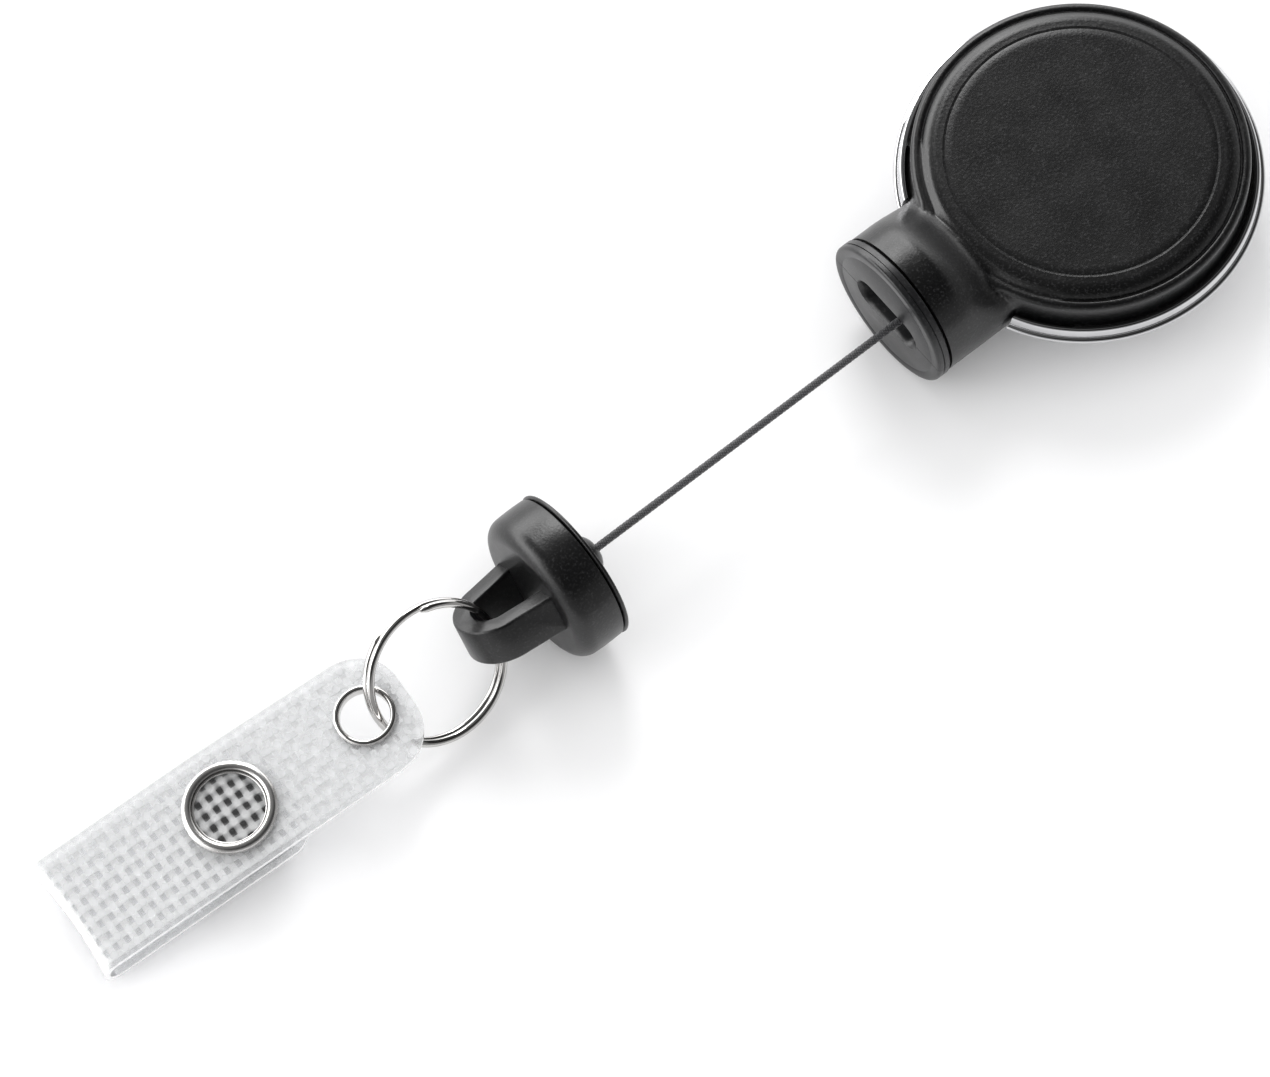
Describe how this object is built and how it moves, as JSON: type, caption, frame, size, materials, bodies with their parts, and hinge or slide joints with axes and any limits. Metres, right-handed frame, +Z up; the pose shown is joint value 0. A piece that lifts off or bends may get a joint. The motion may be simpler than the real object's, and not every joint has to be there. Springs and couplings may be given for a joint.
{
  "type": "retractable badge reel",
  "caption": "Round retractable badge reel with a belt clip, pull cord, turning stopper with an eye, split ring and clear snap strap.",
  "frame": {"origin": "middle of the object's footprint, on the surface that it lies on", "axes": "+Z up, out of the case's face; the cord leaves the case towards -X; +Y to the right of the cord when looking from the strap to the case with the face up"},
  "size_m": [0.1455, 0.037, 0.0164],
  "materials": {
    "black_plastic": "satin, fine moulded grain",
    "inner_plastic": "satin moulded",
    "drum_plastic": "natural acetal, satin",
    "chrome": "polished",
    "nickel": "bright nickel plating",
    "spring_steel": "plain, lightly brushed",
    "cord_fibre": "braided nylon",
    "clear_vinyl": "clear, with woven reinforcement"
  },
  "bodies": {
    "housing": {"front_shell": "black_plastic", "rear_dish": "chrome", "case_front": "inner_plastic", "case_rear": "inner_plastic", "guide_pin_left": "spring_steel", "guide_pin_right": "spring_steel", "arbor": "spring_steel", "power_spring": "spring_steel", "clip_mount": "spring_steel", "clip_rivet": "spring_steel", "pull_cord": "cord_fibre"},
    "clip_spring": {"clip_leaf": "spring_steel"},
    "reel_drum": {"drum": "drum_plastic", "spring_cover": "spring_steel", "cord_winding": "cord_fibre"},
    "cord_end": {"cord_knot": "nickel"},
    "stopper": {"stopper_lid": "black_plastic", "stopper_body": "black_plastic"},
    "ring": {"split_ring": "nickel"},
    "strap": {"strap_front": "clear_vinyl", "eyelet": "nickel", "snap_cap_ring": "nickel", "snap_socket": "nickel"},
    "tail": {"strap_tail": "clear_vinyl", "snap_stud": "nickel", "snap_back_ring": "nickel"}
  },
  "joints": [
    {"name": "clip_flex", "type": "hinge", "parent": "housing", "child": "clip_spring", "pos_m": [0.06672, 0, 0], "axis": [0, -1, 0], "range_deg": [0, 14], "stiffness_Nm_per_rad": 0.05, "springref_deg": -17.19},
    {"name": "drum_spin", "type": "hinge", "parent": "housing", "child": "reel_drum", "pos_m": [0.05417, 0, 0.0077], "axis": [0, 0, 1], "range_deg": [-2500, 190]},
    {"name": "cord_pull", "type": "slide", "parent": "housing", "child": "cord_end", "axis": [-1, 0, 0], "range_m": [-0.0375, 0.5], "deforming": ["pull_cord"]},
    {"name": "stopper_twist", "type": "hinge", "parent": "cord_end", "child": "stopper", "pos_m": [-0.01148, -0.0013, 0.0082], "axis": [-1, 0, 0], "continuous": true},
    {"name": "ring_swing", "type": "hinge", "parent": "stopper", "child": "ring", "pos_m": [-0.02103, -0.0013, 0.0082], "axis": [0, 0.6018, 0.7986], "range_deg": [-45, 45]},
    {"name": "strap_swing", "type": "hinge", "parent": "ring", "child": "strap", "pos_m": [-0.02928, -0.0014, 0.0076], "axis": [0, -0.7771, 0.6293], "range_deg": [-40, 40]},
    {"name": "tail_open", "type": "hinge", "parent": "strap", "child": "tail", "pos_m": [-0.07018, 0.00205, 0.00068], "axis": [0.0872, 0.9962, 0], "range_deg": [0, 100]}
  ],
  "couplings": [
    {"joint": "drum_spin", "follows": "cord_pull", "rad_per_m": -87}
  ]
}
